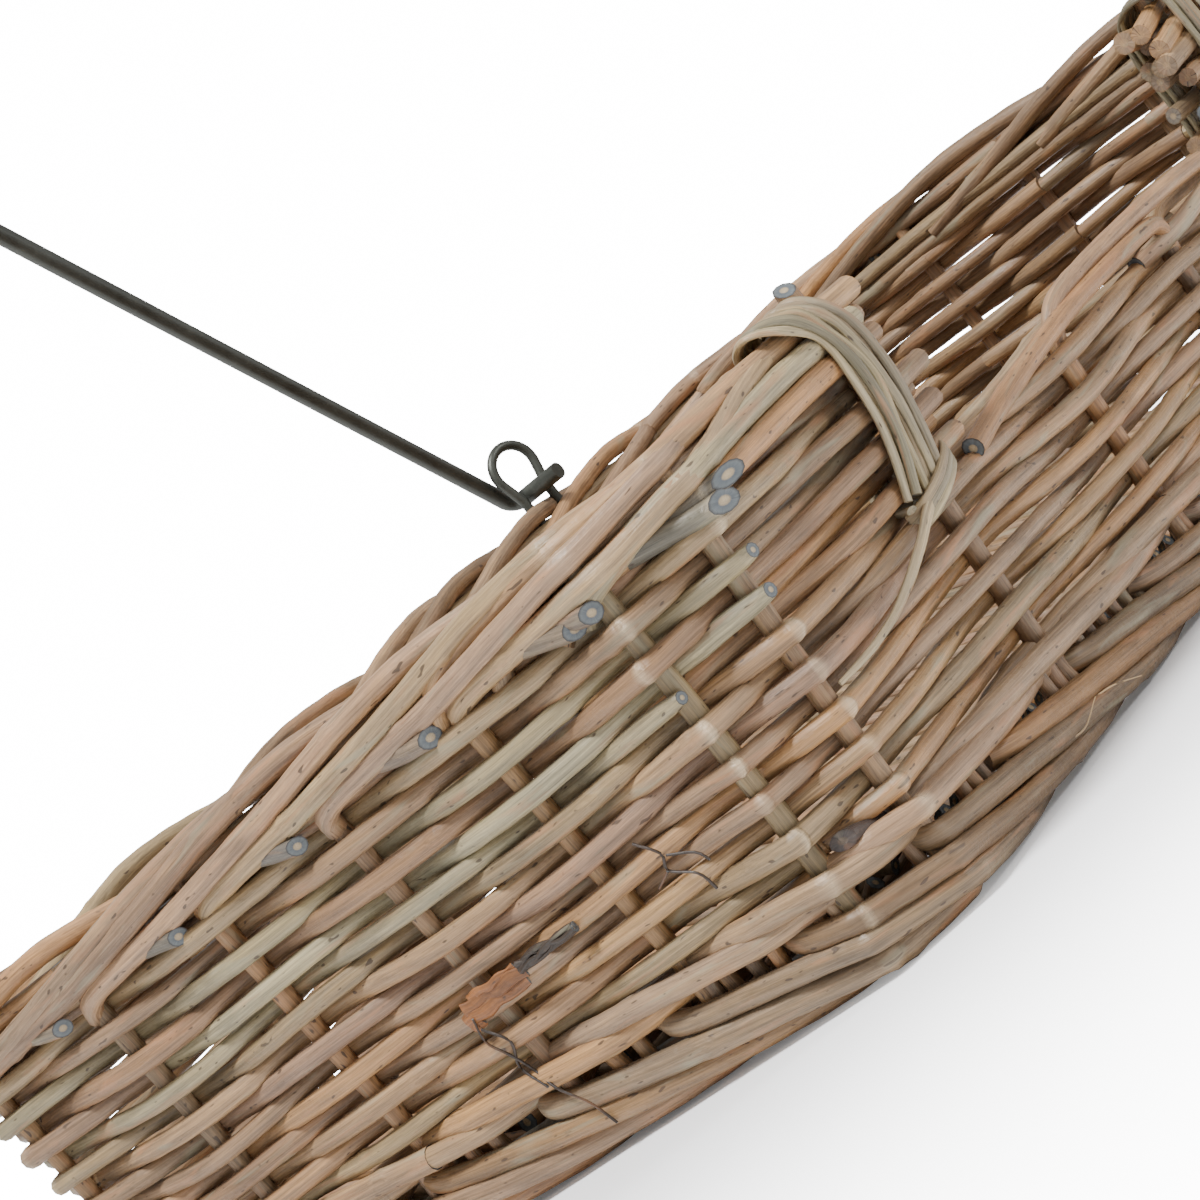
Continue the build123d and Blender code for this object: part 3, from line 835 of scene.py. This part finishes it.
# ---------------------------------------------------------------- base
STICK, STICKS = 2.9, 7                         # radius and number of the rods along the base
base_sticks = Rods()
floor_middle = (floor_low[2] + floor_high[2]) / 2
stick_rows = np.linspace(stick_low[1] + 3.5, stick_high[1] - 3.5, STICKS)
for y in stick_rows:
    x = np.arange(stick_low[0] - 1, stick_high[0] + 1.1, 6.0)
    bend = 0.8 * np.sin(x * 0.012 + rng.uniform(0, 6))
    base_sticks.add(np.column_stack([x, y + bend, np.full(len(x), floor_middle)]), STICK,
                    pick(WILLOW) * 0.9)
base_sticks.piece("base_sticks", willow_inner, "basket", ["base_sticks"])

base_weave = Rods()
BASE_ROWS = 97                                # about a rod's thickness apart
for i, x in enumerate(np.linspace(floor_low[0] + 3, floor_high[0] - 3, BASE_ROWS)):
    cut_away = max(0.0, abs(x) - (floor_high[0] - (HALF_LENGTH - CORNER_STAKES[0]) + 3))
    reach_y = floor_high[1] - 1.0 - cut_away * 0.95
    y = np.arange(-reach_y, reach_y + 0.1, 3.0)
    crossed = [j for j, place in enumerate(stick_rows) if abs(place) < reach_y - 4]
    side = np.interp(y, [-reach_y, *stick_rows[crossed], reach_y],
                     [0, *[(-1) ** (j + i) for j in crossed], 0])
    smooth = np.sin(np.clip(side, -1, 1) * math.pi / 2)
    thick = rng.uniform(1.95, 2.2)
    z = floor_middle + smooth * (STICK * 0.8 + thick)
    wobble = 0.35 * np.sin(y * 0.05 + rng.uniform(0, 6))
    base_weave.add(np.column_stack([x + wobble, y, z]), thick, pick(WILLOW), up=(1, 0, 0), sides=8)
base_weave.piece("base_weave", willow_inner, "basket", ["base_weave"])

# ---------------------------------------------------------------- steel
steel = steel_material("lacquered_steel", srgb(74, 76, 70))
for node in ("bail", "eye_back", "eye_front"):
    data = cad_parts[node].data
    data.materials.clear()
    data.materials.append(steel)

# ---------------------------------------------------------------- floor, light, camera
BACKDROP = 16.0                               # brightness of the backdrop as the camera sees it


def studio_floor():
    """Pale floor that fades into the white backdrop away from the basket."""
    half = 5.0
    corners = [(-half, -half, 0), (half, -half, 0), (half, half, 0), (-half, half, 0)]
    mesh = bpy.data.meshes.new("studio_floor")
    mesh.from_pydata(corners, [], [(0, 1, 2, 3)])
    n = Nodes("studio_floor")
    n.shader.inputs["Base Color"].default_value = (0.93, 0.935, 0.95, 1)
    n.shader.inputs["Roughness"].default_value = 0.9
    n.shader.inputs["Emission Color"].default_value = (1, 1, 1, 1)
    away = n.add("VectorMath", operation="LENGTH")
    n.link(n.stretch(n.add("TexCoord").outputs["Object"], (0.75, 1.0, 1.0)), away.inputs[0])
    fade = n.add("MapRange", interpolation_type="SMOOTHSTEP")
    n.link(away.outputs["Value"], fade.inputs["Value"])
    for name, value in (("From Min", 0.16), ("From Max", 0.62), ("To Min", 0.1), ("To Max", BACKDROP)):
        fade.inputs[name].default_value = value
    n.link(n.math("MULTIPLY", fade.outputs["Result"], n.add("LightPath").outputs["Is Camera Ray"]),
           n.shader.inputs["Emission Strength"])
    mesh.materials.append(n.material)
    obj = bpy.data.objects.new("studio_floor", mesh)
    bpy.context.scene.collection.objects.link(obj)


studio_floor()

world = bpy.data.worlds.new("studio")
bpy.context.scene.world = world
world.use_nodes = True
background = world.node_tree.nodes["Background"]
background.inputs["Color"].default_value = (1.0, 1.0, 1.0, 1)
background.inputs["Strength"].default_value = 0.57
seen = world.node_tree.nodes.new("ShaderNodeBackground")
seen.inputs["Color"].default_value = (1.0, 1.0, 1.0, 1)
seen.inputs["Strength"].default_value = BACKDROP
rays = world.node_tree.nodes.new("ShaderNodeLightPath")
either = world.node_tree.nodes.new("ShaderNodeMixShader")
world.node_tree.links.new(rays.outputs["Is Camera Ray"], either.inputs[0])
world.node_tree.links.new(background.outputs[0], either.inputs[1])
world.node_tree.links.new(seen.outputs[0], either.inputs[2])
world.node_tree.links.new(either.outputs[0], world.node_tree.nodes["World Output"].inputs["Surface"])


def softbox(name, place, target, size, power):
    light = bpy.data.lights.new(name, "AREA")
    light.shape = "DISK"
    light.size = size
    light.energy = power
    obj = bpy.data.objects.new(name, light)
    obj.location = place
    obj.rotation_mode = "QUATERNION"
    obj.rotation_quaternion = (Vector(target) - Vector(place)).to_track_quat("-Z", "Y")
    bpy.context.scene.collection.objects.link(obj)


softbox("key_light", (-0.75, -0.1, 1.8), (0, 0, 0.05), 0.5, 60)
softbox("fill_light", (0.5, -1.7, 1.1), (0, 0, 0.05), 0.6, 15)

# the camera looks at the front left corner of the rim, tilted to its side
SENSOR, LENS = 36, 114.0
AZIMUTH, PITCH, ROLL = math.radians(52.0), math.radians(-2.35), math.radians(-40.0)
DISTANCE, RISE = 0.779, 0.0133
corner = Vector((-HALF_LENGTH, -CORNER_STAKES[1], RIM_TOP)) / MM
ahead = Vector((math.sin(AZIMUTH), math.cos(AZIMUTH), 0))
look = Vector((ahead.x * math.cos(PITCH), ahead.y * math.cos(PITCH), math.sin(PITCH)))
camera_data = bpy.data.cameras.new("camera")
camera_data.sensor_width = SENSOR
camera_data.lens = LENS
camera_data.clip_start, camera_data.clip_end = 0.05, 60
camera = bpy.data.objects.new("camera", camera_data)
bpy.context.scene.collection.objects.link(camera)
place = corner - ahead * DISTANCE + Vector((0, 0, RISE))
turn = look.to_track_quat("-Z", "Y").to_matrix().to_4x4()
camera.matrix_world = Matrix.Translation(place) @ turn @ Matrix.Rotation(ROLL, 4, "Z")
bpy.context.scene.camera = camera

bpy.context.view_layer.update()
